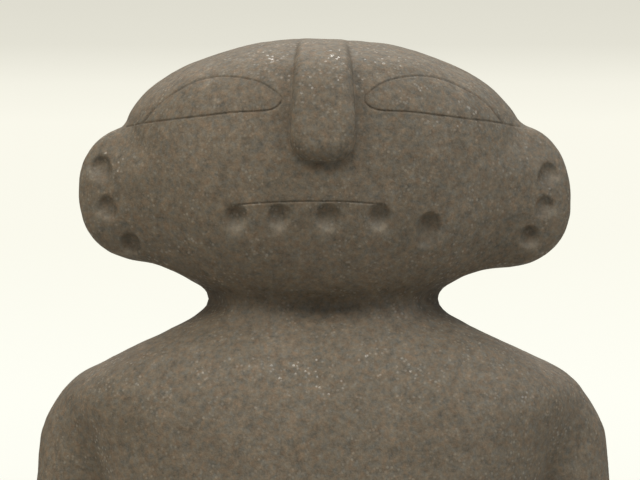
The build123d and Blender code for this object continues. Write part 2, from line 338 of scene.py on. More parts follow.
def trunk_profiles():
    """Half width, front and back of the trunk at every millimetre of height, softened."""
    levels = np.arange(TRUNK[0][0], TRUNK[-1][0] + 1)
    offsets = np.arange(-12, 13)
    weights = np.exp(-0.5 * (offsets / TRUNK_SOFTNESS) ** 2)
    weights /= weights.sum()
    profiles = []
    for column in (1, 2, 3):
        values = np.interp(levels, [r[0] for r in TRUNK], [r[column] for r in TRUNK])
        padded = np.pad(values, 12, mode="reflect", reflect_type="odd")
        profiles.append(np.maximum(np.convolve(padded, weights, "valid"), 1))
    return levels, profiles


TRUNK_LEVELS, TRUNK_PROFILES = trunk_profiles()


def trunk(points):
    """The belly, chest, shoulders and neck, as superellipses on top of each other."""
    x, y, z = points.T
    (half_width, widening), front, back = (
        [np.interp(z, TRUNK_LEVELS, values) for values in (profile, np.gradient(profile))]
        for profile in TRUNK_PROFILES
    )
    reach, deepening = np.where(y < 0, front, back)
    ratio, slope_x, slope_y = section(x, y, half_width, reach, TRUNK_POWER)
    slope_z = -(slope_x * np.abs(x) * widening / half_width + slope_y * np.abs(y) * deepening / reach)
    slope_z = np.where(z < BELLY_BOTTOM, slope_z / np.maximum(ratio, 1), slope_z)
    side = (ratio - 1) / np.sqrt(slope_x**2 + slope_y**2 + slope_z**2)
    return np.maximum(side, np.maximum(TRUNK[0][0] - z, z - TRUNK[-1][0]))


def nose_outline(x, z):
    """Distance in the plane of the face to the tapered bar with its rounded lower corners."""
    height = (z - NOSE_TIP_HEIGHT) / (CROWN - NOSE_TIP_HEIGHT)
    half_width = NOSE_TIP_HALF_WIDTH + (NOSE_ROOT_HALF_WIDTH - NOSE_TIP_HALF_WIDTH) * height
    aside = np.abs(x) - half_width + NOSE_CORNER
    below = NOSE_TIP_HEIGHT + NOSE_CORNER - z
    outside = np.hypot(np.maximum(aside, 0), np.maximum(below, 0))
    return outside + np.minimum(np.maximum(aside, below), 0) - NOSE_CORNER


def nose(points):
    """A bar that stands proud of the skull and runs up over the crown."""
    x, y, z = points.T
    front = skull(points, NOSE_PROUD, NOSE_PROUD_AT_CROWN)
    bar = carve(nose_outline(x, z), front, 5.0 + 5.0 * ease((NOSE_TIP_HEIGHT + 20 - z) / 16))
    return carve(bar, y - NOSE_BACK, 8.0)


def hand(points):
    """A flat hand with four fingers, which point towards the middle of the belly."""
    local = points - HAND
    cosine, sine = math.cos(HAND_TURN), math.sin(HAND_TURN)
    along = local[:, 0] * cosine + local[:, 1] * sine
    out = -local[:, 0] * sine + local[:, 1] * cosine
    local = np.column_stack([along, out, local[:, 2]])
    values = rounded_box(local - (13.0, 0.5, 0.0), np.array([15.0, 9.0, 17.5]), 8.0)
    for i, shorter in enumerate((3.0, 0.0, 0.5, 4.0)):
        height = (1.5 - i) * FINGER_PITCH
        tip = (-22.0 + shorter, -0.5, height)
        finger = bone(local, (6.0, -2.0, height), 5.6, tip, 4.9)
        values = blend(values, finger, FINGER_FILLET)
    return values


def foot(points):
    """A broad foot with five toes, which its fillets and round top leave only faintly parted."""
    local = points - FOOT
    values = rounded_box(local, np.array([24.0, 46.0, 13.0]), 10.0)
    values = blend(values, ellipsoid(local, (0, 16.0, 8.0), (19.0, 34.0, 17.0)), 10.0)
    for i in range(5):
        aside = (i - 2) * TOE_PITCH
        start = (aside, -26.0 + abs(i - 1.5), 2.5)
        toe = bone(local, start, 5.4, (aside, -42.5 + 1.3 * abs(i - 1.3), 0.5), 5.0)
        values = blend(values, toe, FINGER_FILLET)
    return values


def figure_form(points):
    """The whole figure without its pits, lines and dowel sockets.

    Each form is worked out only in a box that holds it and its fillets.
    """
    z = points[:, 2]
    mirrored = np.column_stack([np.abs(points[:, 0]), points[:, 1], z])
    head_low = SKULL_HEIGHT - SKULL_DOWN - 45
    head = near(points, (-170, -140, head_low), (170, 140, 560), skull)
    off_rim = ease((EAR_Y - 2 - points[:, 1]) / 14) + 0.6 * ease((points[:, 1] - EAR_Y - 12) / 20)
    off_rim = off_rim * ease((440 - z) / 30) * (0.4 + 0.6 * ease((z - 372) / 24))
    softness = EAR_FILLET + LOBE_FILLET * ease((392 - z) / 16) + FLANK_FILLET * off_rim
    for row in EARS:
        low = (row[0] - 70, EAR_Y - 60, row[1] - 70)
        high = (row[0] + 70, EAR_Y + 60, row[1] + 70)
        head = blend(head, near(points, low, high, lambda p: ear(p, *row)), softness)
    nose_low = (-30, -120, NOSE_TIP_HEIGHT - 15)
    head = blend(head, near(points, nose_low, (30, 40, 520), nose), NOSE_FILLET)
    head = carve(head, z - DOME_CAP, CROWN_FILLET)

    body = near(points, (-170, -130, 60), (170, 130, 430), trunk)
    low, high = (30, -130, 150), (180, 70, 340)
    joints = (SHOULDER, ELBOW, WRIST)
    arm = near(mirrored, low, high, lambda p: bent_limb(p, joints, ARM_RADII, ELBOW_FILLET))
    body = blend(body, arm, ARM_FILLET + SHOULDER_FILLET * ease((z - 256) / 36))
    body = blend(body, near(mirrored, (-5, -120, 180), (90, -40, 250), hand), HAND_FILLET)

    low, high = (-30, -110, 10), (130, 100, 235)
    seat = near(mirrored, low, high, lambda p: ellipsoid(p, BUTTOCK, BUTTOCK_RADII))
    body = blend(body, seat, HIP_FILLET)
    joints = (HIP, KNEE, ANKLE)
    leg = near(mirrored, low, high, lambda p: bent_limb(p, joints, LEG_RADII, KNEE_FILLET))
    sole = near(mirrored, (-10, -110, 5), (110, 60, 110), foot)
    body = blend(body, blend(leg, sole, ANKLE_FILLET), HIP_FILLET)

    by_chin = ease((-18 - points[:, 1]) / 24) * (1 - soft_line(points[:, 0], 0.85, 30))
    return blend(body, head, NAPE_FILLET + JAW_FILLET * by_chin)


def front_face(x, z):
    """The y where the front of the figure is, at one x and z."""
    rays = np.column_stack([np.full(400, x), np.linspace(-120, 0, 400), np.full(400, z)])
    values = figure_form(rays)
    first = int(np.argmax(values < 0))
    before, after = values[first - 1], values[first]
    return rays[first - 1, 1] + (rays[1, 1] - rays[0, 1]) * before / (before - after)


def pit(x, z, radius, run, lean):
    """The ball that presses a pit: where it is deep, where it is shallow, and its radius."""
    deep = (x, front_face(x, z) - radius * DEEP_STANDOFF, z)
    shallow = (x + lean, front_face(x, z - run) - radius * SHALLOW_STANDOFF, z - run)
    return deep, shallow, radius * PIT_BALL


PITS = [pit(*row) for row in MOUTH_PITS + EAR_PITS]


def dowel_sockets(points):
    """The holes in the stones: the CAD dowels with a wall of resin round them."""
    values = np.full(len(points), FAR)
    mirrored_x = np.abs(points[:, 0])
    for x, y, joint in SOCKETS:
        low, high = box_mm(f"right_{joint}_dowel")
        radius = (high[0] - low[0]) / 2 + RESIN_WALL
        side = np.hypot(mirrored_x - x, points[:, 1] - y) - radius
        ends = np.maximum(low[2] - RESIN_WALL - points[:, 2], points[:, 2] - high[2] - RESIN_WALL)
        values = np.minimum(values, np.maximum(side, ends))
    return values


def figure(points):
    """The figure with its pits and dowel sockets."""
    values = figure_form(points)
    for deep, shallow, radius in PITS:
        low, high = np.array(deep) - 20, np.array(deep) + 20
        pressed = near(points, low, high, lambda p: bone(p, deep, radius, shallow, radius))
        values = carve(values, -pressed, PIT_RIM_SOFTNESS)
    return np.maximum(values, -dowel_sockets(points))


def slab(points):
    """The base slab's form, with worn upper edges."""
    x, y, z = points.T
    half_width, half_depth = SLAB_HIGH[0] - 0.4, SLAB_HIGH[1] - 0.4
    ratio, slope_x, slope_y = section(x, y, half_width, half_depth, SLAB_POWER)
    aside = (ratio - 1) / np.hypot(slope_x, slope_y)
    middle = (SLAB_LOW[2] + SLAB_HIGH[2]) / 2
    upright = np.abs(z - middle) - (SLAB_HIGH[2] - SLAB_LOW[2]) / 2
    radius = np.where(z > middle, SLAB_EDGE, SLAB_FOOT_EDGE)
    aside, upright = aside + radius, upright + radius
    outside = np.hypot(np.maximum(aside, 0), np.maximum(upright, 0))
    values = outside + np.minimum(np.maximum(aside, upright), 0) - radius
    return np.maximum(values, -dowel_sockets(points))


# ------------------------ incised lines
def smooth_line(knots, steps=10):
    """Points along a Catmull-Rom curve through the knots."""
    knots = np.array([knots[0], *knots, knots[-1]], float)
    t = np.linspace(0, 1, steps, endpoint=False)[:, None]
    runs = []
    for a, b, c, d in zip(knots, knots[1:], knots[2:], knots[3:]):
        bend = (2 * a - 5 * b + 4 * c - d) * t**2 + (3 * b - a - 3 * c + d) * t**3
        runs.append(0.5 * (2 * b + (c - a) * t + bend))
    return np.vstack([*runs, knots[-1:]])


def eye_leaf(side):
    """The closed outline of the left (-1) or right (1) eye."""
    return smooth_line([*EYE_LID, *EYE_CORNER, *EYE_LOWER, EYE_LID[0]]) * (side, 1)


LEAVES = [eye_leaf(-1), eye_leaf(1)]
TAILS = [np.array([EYE_LID[0], EYE_TAIL]) * (side, 1) for side in (-1, 1)]
MOUTH_LINE = smooth_line(MOUTH)


def line_distance(flat, line):
    """Distance from points in the plane of the face to a line of short runs."""
    nearest = np.full(len(flat), FAR)
    for start, end in zip(line, line[1:]):
        run = end - start
        if not run.any():
            continue
        share = np.clip((flat - start) @ run / (run @ run), 0, 1)
        gap = flat - start - share[:, None] * run
        nearest = np.minimum(nearest, np.hypot(gap[:, 0], gap[:, 1]))
    return nearest


def inside_leaf(flat, leaf):
    """Which points are inside the closed line of an eye."""
    crossings = np.zeros(len(flat), bool)
    for (x0, z0), (x1, z1) in zip(leaf, np.roll(leaf, -1, axis=0)):
        spans = (flat[:, 1] < z0) != (flat[:, 1] < z1)
        if spans.any():
            reached = x0 + (flat[:, 1] - z0) * (x1 - x0) / (z1 - z0 + 1e-12)
            crossings ^= spans & (flat[:, 0] < reached)
    return crossings


def on_face(points):
    """Points on the front of the head, where lines are incised."""
    return (points[:, 2] > 385) & (points[:, 2] < 470) & (points[:, 1] < 4) & (np.abs(points[:, 0]) < 104)


def face_lines(points):
    """Depth of the incised lines and distance to the nearest one."""
    depth, distance = np.zeros(len(points)), np.full(len(points), FAR)
    chosen = np.flatnonzero(on_face(points))
    flat = points[chosen][:, [0, 2]]
    cut, gap = np.zeros(len(flat)), np.full(len(flat), FAR)
    for leaf in LEAVES:
        away = line_distance(flat, leaf)
        lid_depth = LOWER_LID_DEPTH - LID_FADING * ease((flat[:, 1] - 444) / 6)
        cut = np.maximum(cut, soft_line(away, lid_depth, LINE_WIDTH))
        cut += inside_leaf(flat, leaf) * soft_line(away, EYE_RECESS, RECESS_WIDTH)
        gap = np.minimum(gap, away)
    for tail in TAILS:
        away = line_distance(flat, tail)
        cut = np.maximum(cut, soft_line(away, TAIL_DEPTH, TAIL_WIDTH))
        gap = np.minimum(gap, away)
    away = line_distance(flat, MOUTH_LINE)
    cut = np.maximum(cut, soft_line(away, MOUTH_DEPTH, LINE_WIDTH))
    gap = np.minimum(gap, away)
    depth[chosen], distance[chosen] = cut, gap
    return depth, distance


# ------------------------ meshing
def surface_net(field, low, high, step):
    """A quad mesh near the field's skin: one point per cell that the skin crosses."""
    axes = [np.arange(a, b + step, step) for a, b in zip(low, high)]
    grid = np.stack(np.meshgrid(*axes, indexing="ij"), -1)
    shape = grid.shape[:3]
    flat = grid.reshape(-1, 3)
    values = np.concatenate([field(part) for part in np.array_split(flat, 24)]).reshape(shape)
    solid = values < 0
    cells = np.zeros([n - 1 for n in shape], np.int32)
    corners = [(i, j, k) for i in (0, 1) for j in (0, 1) for k in (0, 1)]
    counts = np.zeros(cells.shape, int)
    for corner in corners:
        counts += solid[tuple(slice(c, n - 1 + c) for c, n in zip(corner, shape))]
    crossed = np.argwhere((counts > 0) & (counts < 8))
    cells[tuple(crossed.T)] = np.arange(len(crossed))
    total, hits = np.zeros((len(crossed), 3)), np.zeros((len(crossed), 1))
    for first in corners:
        for axis in range(3):
            if first[axis]:
                continue
            second = tuple(v + (n == axis) for n, v in enumerate(first))
            a, b = crossed + first, crossed + second
            value_a, value_b = values[tuple(a.T)], values[tuple(b.T)]
            cut = (value_a < 0) != (value_b < 0)
            share = np.where(cut, value_a / np.where(cut, value_a - value_b, 1), 0)[:, None]
            point = grid[tuple(a.T)] + share * (grid[tuple(b.T)] - grid[tuple(a.T)])
            total += point * cut[:, None]
            hits += cut[:, None]
    points = total / hits
    quads = []
    for axis in range(3):
        others = [n for n in range(3) if n != axis]
        if axis == 1:
            others.reverse()
        ahead = np.roll(solid, -1, axis)
        change = solid != ahead
        inner = [slice(1, n - 1) for n in shape]
        where = np.argwhere(change[tuple(inner)]) + 1
        ring = []
        for back_a, back_b in ((0, 0), (1, 0), (1, 1), (0, 1)):
            at = where.copy()
            at[:, others[0]] -= back_a
            at[:, others[1]] -= back_b
            ring.append(cells[tuple(at.T)])
        ring = np.stack(ring, 1)
        outward = solid[tuple(where.T)]
        quads.append(np.where(outward[:, None], ring, ring[:, ::-1]))
    quads = np.vstack(quads)
    return points, np.vstack([quads[:, [0, 1, 2]], quads[:, [0, 2, 3]]])


TETRAHEDRON = np.array([(1, 1, 1), (1, -1, -1), (-1, 1, -1), (-1, -1, 1)], float)


def sample(field, points, reach=0.06):
    """The field's value and slope at each point, from four samples round it."""
    values = [field(points + corner * reach) for corner in TETRAHEDRON]
    slope = sum(np.outer(v, c) for v, c in zip(values, TETRAHEDRON)) / (4 * reach)
    return sum(values) / 4, slope


def settle(field, points, rounds, longest=1.5):
    """Moves points on to the field's skin, and returns them with their outward normals."""
    for _ in range(rounds):
        value, slope = sample(field, points)
        size = np.linalg.norm(slope, axis=1) + 1e-9
        step = np.clip(value / size, -longest, longest)
        points = points - slope * (step / size)[:, None]
    _, slope = sample(field, points)
    return points, slope / (np.linalg.norm(slope, axis=1) + 1e-9)[:, None]


def refine(field, points, faces, wanted):
    """Splits edges that are longer than wanted at their middle, and settles the new points."""
    for _ in range(8):
        pairs = np.sort(np.vstack([faces[:, [0, 1]], faces[:, [1, 2]], faces[:, [2, 0]]]), axis=1)
        edges, which = np.unique(pairs, axis=0, return_inverse=True)
        which = which.reshape(3, -1).T
        ends = points[edges]
        middle = ends.mean(1)
        length = np.linalg.norm(ends[:, 0] - ends[:, 1], axis=1)
        split = length > 1.4 * wanted(middle)
        if not split.any():
            break
        fresh = np.full(len(edges), -1)
        fresh[split] = len(points) + np.arange(split.sum())
        added, _ = settle(field, middle[split], 2, 0.8)
        points = np.vstack([points, added])
        cuts = fresh[which]
        count = (cuts >= 0).sum(1)
        made = [faces[count == 0]]
        for turn in range(3):
            a, b, c = (faces[:, (turn + n) % 3] for n in range(3))
            ab, bc, ca = (cuts[:, (turn + n) % 3] for n in range(3))
            one = (count == 1) & (ab >= 0)
            made += [np.stack([a, ab, c], 1)[one], np.stack([ab, b, c], 1)[one]]
            two = (count == 2) & (ca < 0)
            made.append(np.stack([ab, b, bc], 1)[two])
            made += [np.stack([a, ab, bc], 1)[two], np.stack([a, bc, c], 1)[two]]
        three = count == 3
        a, b, c = faces[three].T
        ab, bc, ca = cuts[three].T
        made += [np.stack(t, 1) for t in ((a, ab, ca), (ab, b, bc), (ca, bc, c), (ab, bc, ca))]
        faces = np.vstack(made)
    return points, faces


def graded(finest, growth, distance):
    """An edge length that grows with the distance from fine work."""
    return np.maximum(finest, finest + growth * distance)


def wanted_edge(points):
    """How long a triangle's edge may be.

    It is short along lines and pits, round the nose, fingers and toes, and at the waist joint.
    """
    coarse = 2.3
    x, y, z = points.T
    limit = np.full(len(points), coarse)
    _, gap = face_lines(points)
    limit = np.minimum(limit, graded(0.36, 0.45, gap - 1.3))
    for deep, shallow, radius in PITS:
        away = np.linalg.norm(points - (np.array(deep) + shallow) / 2, axis=1) - 1.6 * radius
        limit = np.minimum(limit, graded(0.7, 0.3, away))
    on_nose = (y < 10) & (z > NOSE_TIP_HEIGHT - 12)
    edge = np.where(on_nose, np.abs(nose_outline(x, z)), FAR)
    limit = np.minimum(limit, graded(0.6, 0.35, edge - 4))
    at_hands = (y < -66) & (np.abs(z - HAND[2]) < 22) & (np.abs(x) < 66)
    at_toes = (y < FOOT[1] - 20) & (z < FOOT[2] + 20)
    at_waist = np.abs(z - TORSO_LOW[2]) < 2.2
    limit = np.where(at_hands | at_toes | at_waist, np.minimum(limit, 1.0), limit)
    return np.maximum(limit, 0)


def figure_skin():
    """The points, outward normals and triangles of the figure's skin."""
    low = (TORSO_LOW[0] - 8, SLAB_LOW[1] - 4, LEGS_LOW[2] - 8)
    high = (TORSO_HIGH[0] + 8, SLAB_HIGH[1] + 4, CROWN + 8)
    points, faces = surface_net(figure, low, high, 3.0)
    points, _ = settle(figure, points, 4)
    points, faces = refine(figure, points, faces, wanted_edge)
    points, normals = settle(figure, points, 2, 0.5)
    return points, normals, faces


def slab_skin():
    """The same for the base slab."""
    low = [v - 6 for v in SLAB_LOW]
    high = [v + 6 for v in SLAB_HIGH]
    points, faces = surface_net(slab, low, high, 3.0)
    points, normals = settle(slab, points, 5)
    return points, normals, faces


def hollowness(field, points, normals, reach):
    """0 where the skin is flat or bulges, up to 1 deep in a crease."""
    return np.clip(1 - field(points + normals * reach) / reach, 0, 1)


def pit_dust_and_light_amount(points):
    """How pale the lower half of each pit is painted: partly settled grit, partly painted light where the
    pit's floor faces up.
    """
    pit_dust_and_light = np.zeros(len(points))
    for (x, y, z), _, radius in PITS:
        across, above = points[:, 0] - x, points[:, 2] - z + 0.55 * radius
        here = np.exp(-(across**2 + 1.6 * above**2) / (0.62 * radius) ** 2)
        pit_dust_and_light = np.maximum(pit_dust_and_light, np.where(np.abs(points[:, 1] - y) < 2 * radius, here, 0))
    return pit_dust_and_light


def roughen(points, normals, amount):
    """Hand-carved unevenness, from broad hollows to single tool marks, in millimetres."""
    broad = 0.24 * waves(points, 46.0, 9, 3)
    middle = 0.08 * waves(points, 15.0, 12, 5)
    fine = 0.03 * waves(points, 6.5, 14, 7)
    return points + normals * ((broad + middle + fine) * amount)[:, None]


# ------------------------ objects
def new_object(name, mesh):
    piece = bpy.data.objects.new(name, mesh)
    bpy.context.scene.collection.objects.link(piece)
    return piece


def skin_mesh(name, points, faces, attributes):
    """A mesh of triangles that carries a value per point for each attribute."""
    mesh = bpy.data.meshes.new(name)
    mesh.vertices.add(len(points))
    mesh.vertices.foreach_set("co", (points * MM).astype(np.float32).ravel())
    mesh.loops.add(len(faces) * 3)
    mesh.loops.foreach_set("vertex_index", faces.astype(np.int32).ravel())
    mesh.polygons.add(len(faces))
    mesh.polygons.foreach_set("loop_start", np.arange(len(faces), dtype=np.int32) * 3)
    for key, values in attributes.items():
        layer = mesh.attributes.new(key, "FLOAT", "POINT")
        layer.data.foreach_set("value", values.astype(np.float32))
    mesh.update()
    mesh.validate()
    return mesh


def keep_between(points, faces, attributes, low, high):
    """The part of a skin near a range of heights, with its points renumbered."""
    z = points[:, 2][faces]
    kept = faces[(z.max(1) > low) & (z.min(1) < high)]
    used, faces = np.unique(kept, return_inverse=True)
    return points[used], faces.reshape(-1, 3), {k: v[used] for k, v in attributes.items()}


def cut_stone(name, skin, low, high):
    """The stretch of the skin between two heights, closed with flat bedding faces."""
    points, faces, attributes = keep_between(*skin, low, high)
    mesh = skin_mesh(name, points, faces, attributes)
    shape = bmesh.new()
    shape.from_mesh(mesh)
    for height, sign in ((low, -1), (high, 1)):
        if not points[:, 2].min() < height < points[:, 2].max():
            continue
        geometry = shape.verts[:] + shape.edges[:] + shape.faces[:]
        where, facing = (0, 0, height * MM), (0, 0, sign)
        bmesh.ops.bisect_plane(shape, geom=geometry, plane_co=where, plane_no=facing, clear_outer=True)
        rim = [e for e in shape.edges if e.is_boundary and abs(e.verts[0].co.z - height * MM) < 1e-6]
        bmesh.ops.triangle_fill(shape, use_beauty=True, edges=rim)
    bmesh.ops.recalc_face_normals(shape, faces=shape.faces[:])
    for face in shape.faces:
        from_joint = min(abs(face.verts[0].co.z / MM - height) for height in (low, high))
        bedding = abs(face.normal.z) > 0.999 and from_joint < 1e-3
        face.smooth = not bedding
    for edge in shape.edges:
        edge.smooth = len({face.smooth for face in edge.link_faces}) < 2
    shape.to_mesh(mesh)
    shape.free()
    return mesh


def lathe(shape, profile, centre, steps=40):
    """Turns a profile of radius and height round a vertical axis, in millimetres."""
    rings = []
    for radius, height in profile:
        turns = steps if radius else 1
        ring = []
        for i in range(turns):
            angle = 2 * math.pi * i / turns
            spot = (centre[0] + radius * math.cos(angle), centre[1] + radius * math.sin(angle), height)
            ring.append(shape.verts.new([v * MM for v in spot]))
        rings.append(ring)
    for first, second in zip(rings, rings[1:]):
        for i in range(steps):
            corners = [first[i % len(first)], first[(i + 1) % len(first)]]
            corners += [second[(i + 1) % len(second)], second[i % len(second)]]
            face = list(dict.fromkeys(corners))
            if len(face) > 2:
                shape.faces.new(face).smooth = True


def place(piece, node, slot, material):
    """Puts a finished piece where a CAD node was."""
    piece.data.materials.clear()
    piece.data.materials.append(material)
    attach(piece, "root")
    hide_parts(node)


# ------------------------ materials
def new_material(name):
    """A material with its node tree and its shader."""
    material = bpy.data.materials.new(name)
    material.use_nodes = True
    return material, material.node_tree, material.node_tree.nodes["Principled BSDF"]


def feed(tree, socket, value):
    """Gives a socket a number, a colour or another node's output."""
    if isinstance(value, (int, float)):
        socket.default_value = value
    elif isinstance(value, tuple):
        socket.default_value = (*value, 1.0)
    else:
        tree.links.new(value, socket)


def ramp(tree, source, stops):
    """Reads the source off a ramp of colours. A stop with one number is a grey."""
    node = tree.nodes.new("ShaderNodeValToRGB")
    elements = node.color_ramp.elements
    while len(elements) < len(stops):
        elements.new(1.0)
    for element, (position, colour) in zip(elements, stops):
        element.position = position
        element.color = (*colour, 1.0) if isinstance(colour, tuple) else (colour, colour, colour, 1.0)
    tree.links.new(source, node.inputs["Fac"])
    return node.outputs["Color"]


def noise(tree, position, scale, detail=2.0, roughness=0.5, distortion=0.0):
    node = tree.nodes.new("ShaderNodeTexNoise")
    node.inputs["Scale"].default_value = scale
    node.inputs["Detail"].default_value = detail
    node.inputs["Roughness"].default_value = roughness
    node.inputs["Distortion"].default_value = distortion
    tree.links.new(position, node.inputs["Vector"])
    return node.outputs["Fac"]


def mix_colour(tree, blend_type, factor, first, second):
    node = tree.nodes.new("ShaderNodeMix")
    node.data_type = "RGBA"
    node.blend_type = blend_type
    feed(tree, node.inputs["Factor"], factor)
    colours = [s for s in node.inputs if s.type == "RGBA"]
    feed(tree, colours[0], first)
    feed(tree, colours[1], second)
    return next(s for s in node.outputs if s.type == "RGBA")


def maths(tree, operation, first, second):
    node = tree.nodes.new("ShaderNodeMath")
    node.operation = operation
    feed(tree, node.inputs[0], first)
    feed(tree, node.inputs[1], second)
    return node.outputs[0]


def object_position(tree):
    return tree.nodes.new("ShaderNodeTexCoord").outputs["Object"]


def attribute(tree, name):
    """The value that a mesh carries under this name."""
    node = tree.nodes.new("ShaderNodeAttribute")
    node.attribute_name = name
    return node.outputs["Fac"]


STONE = (0.158, 0.127, 0.088)
WARM = (0.179, 0.127, 0.080)
COOL = (0.140, 0.127, 0.101)
# Pale tone of crystals and pit floors, partly their own colour and partly painted glints and painted
# light.
PALE = (0.42, 0.37, 0.29)
# Darkening tint for painted shade in creases and lines, and for soiling.
SHADE_AND_DIRT_TINT = (0.36, 0.33, 0.30)


def stone_material(name, softest, shiniest):
    """Fine-grained stone: warm and blue-grey grains, soft mottling and shiny pale crystals, painted paler
    than the stone to stand in for glints. Creases and lines carry painted shade with some soiling, and the
    lower halves of the pits are painted pale, partly as settled grit and partly as painted light.

    The resin is filled with powder of the same stone and stippled to match, so it differs
    only in its roughness.
    """
    material, tree, shader = new_material(name)
    position = object_position(tree)

    grain = noise(tree, position, scale=215.0, detail=3.0, roughness=0.95)
    value = ramp(tree, grain, [(0.28, 0.58), (0.5, 1.0), (0.72, 1.42)])
    specks = noise(tree, position, scale=400.0, detail=1.0, distortion=0.3)
    tint = ramp(tree, specks, [(0.26, COOL), (0.5, STONE), (0.74, WARM)])
    colour = mix_colour(tree, "MULTIPLY", 1.0, tint, value)

    mottle = noise(tree, position, scale=21.0, roughness=0.6, distortion=0.4)
    mottling = ramp(tree, mottle, [(0.3, (0.92, 0.92, 0.91)), (0.52, 1.0), (0.72, (1.14, 1.14, 1.16))])
    colour = mix_colour(tree, "MULTIPLY", 1.0, colour, mottling)

    cells = tree.nodes.new("ShaderNodeTexVoronoi")
    cells.inputs["Scale"].default_value = 400.0
    tree.links.new(position, cells.inputs["Vector"])
    crystals_and_glints = ramp(tree, cells.outputs["Distance"], [(0.20, 1.0), (0.34, 0.0)])
    cluster = noise(tree, position, scale=90.0, detail=3.0, roughness=0.7)
    pale = maths(tree, "MULTIPLY", crystals_and_glints, ramp(tree, cluster, [(0.44, 0.0), (0.66, 1.0)]))
    # Pale crystals painted brighter than the stone's flecks to stand in for glints: partly grain, partly
    # painted highlight.
    colour = mix_colour(tree, "MIX", maths(tree, "MULTIPLY", pale, 0.34), colour, PALE)

    # Pale lower halves of the pits: partly settled grit, partly painted light on the upward-facing floors.
    patchy = maths(tree, "MULTIPLY", grain, 0.7)
    pit_dust_and_light = maths(tree, "MULTIPLY", attribute(tree, "pit_dust_and_light"), patchy)
    colour = mix_colour(tree, "MIX", pit_dust_and_light, colour, PALE)
    # Painted shade with some soiling: the mesh's darkening value darkens creases, the nose's edge and the
    # lines; on the slab it gives random darker patches.
    shade_and_dirt_share = maths(tree, "MULTIPLY", attribute(tree, "shade_and_dirt"), 0.8)
    colour = mix_colour(tree, "MULTIPLY", shade_and_dirt_share, colour, SHADE_AND_DIRT_TINT)
    tree.links.new(colour, shader.inputs["Base Color"])
    gloss = ramp(tree, pale, [(0.0, softest), (0.7, shiniest)])
    tree.links.new(gloss, shader.inputs["Roughness"])

    relief = maths(tree, "ADD", grain, maths(tree, "MULTIPLY", specks, 0.4))
    bump = tree.nodes.new("ShaderNodeBump")
    bump.inputs["Strength"].default_value = 0.6
    bump.inputs["Distance"].default_value = 0.0006
    tree.links.new(relief, bump.inputs["Height"])
    tree.links.new(bump.outputs["Normal"], shader.inputs["Normal"])
    return material


def steel_material():
    """Drawn stainless bar, with fine scratches along its length."""
    material, tree, shader = new_material("dowel_steel")
    shader.inputs["Metallic"].default_value = 1.0
    stretch = tree.nodes.new("ShaderNodeMapping")
    stretch.inputs["Scale"].default_value = (900.0, 900.0, 30.0)
    tree.links.new(object_position(tree), stretch.inputs["Vector"])
    scratches = noise(tree, stretch.outputs["Vector"], scale=1.0, detail=3.0)
    colour = ramp(tree, scratches, [(0.3, 0.42), (0.7, (0.60, 0.60, 0.58))])
    tree.links.new(colour, shader.inputs["Base Color"])
    gloss = ramp(tree, scratches, [(0.3, 0.28), (0.7, 0.45)])
    tree.links.new(gloss, shader.inputs["Roughness"])
    return material


def rubber_material():
    """Matt black rubber with a faint moulded grain."""
    material, tree, shader = new_material("pad_rubber")
    grain = noise(tree, object_position(tree), scale=900.0)
    tree.links.new(ramp(tree, grain, [(0.3, 0.018), (0.7, 0.032)]), shader.inputs["Base Color"])
    tree.links.new(ramp(tree, grain, [(0.3, 0.7), (0.7, 0.9)]), shader.inputs["Roughness"])
    return material


# ------------------------ pieces
def painted_shade_and_dirt(points, normals, line_depth):
    """Painted shade and soiling at a point: darker in creases where less light reaches, a painted shadow
    line along the nose's edge, and darker incised lines, partly soiling and partly painted shade.
    """
    x, y, z = points.T
    # Painted shade: creases and hollows are darkened where shade falls.
    crease = 0.3 * hollowness(figure_form, points, normals, 2.0)
    crease += 0.5 * hollowness(figure_form, points, normals, 12.0)
    # Painted shadow: a dark line along the nose's edge where it meets the face.
    at_nose = (y < 0) & (z > NOSE_TIP_HEIGHT - 8) & (z < DOME_CAP - 10)
    rim = soft_line(nose_outline(x, z) - 0.2, 0.38, 0.9)
    crease = np.maximum(crease, np.where(at_nose, rim, 0))
    # The incised lines are darkened too: partly soiling, partly painted shade.
    return np.clip(crease + line_depth * 0.8, 0, 1)


def make_stones(stone, resin):
    """The head, torso and legs, and the resin beds that join them."""
    points, normals, faces = figure_skin()
    depth, _ = face_lines(points)
    # Per point: painted shade with some soiling, and the pale pit floors, partly painted light.
    attributes = {"shade_and_dirt": painted_shade_and_dirt(points, normals, depth), "pit_dust_and_light": pit_dust_and_light_amount(points)}
    seam = soft_line(points[:, 2] - TORSO_LOW[2] + 0.3, SEAM_DEPTH, SEAM_WIDTH)
    points = roughen(points, normals, 1.0) - normals * (depth + seam)[:, None]
    skin = points, faces, attributes
    spans = {
        "head_block": (HEAD_LOW[2], FAR),
        "torso_block": (TORSO_LOW[2], TORSO_HIGH[2]),
        "legs_block": (LEGS_LOW[2], LEGS_HIGH[2]),
    }
    for node, (low, high) in spans.items():
        piece = new_object("carved_" + node, cut_stone("carved_" + node, skin, low, high))
        place(piece, node, "stone", stone)
    beds = {
        "neck_joint_resin": (TORSO_HIGH[2], HEAD_LOW[2], None),
        "waist_joint_resin": (LEGS_HIGH[2], TORSO_LOW[2], None),
        "left_sole_resin": (SLAB_HIGH[2], LEGS_LOW[2], -1),
        "right_sole_resin": (SLAB_HIGH[2], LEGS_LOW[2], 1),
    }
    for node, (low, high, side) in beds.items():
        make_resin(node, skin, low, high, side, resin)


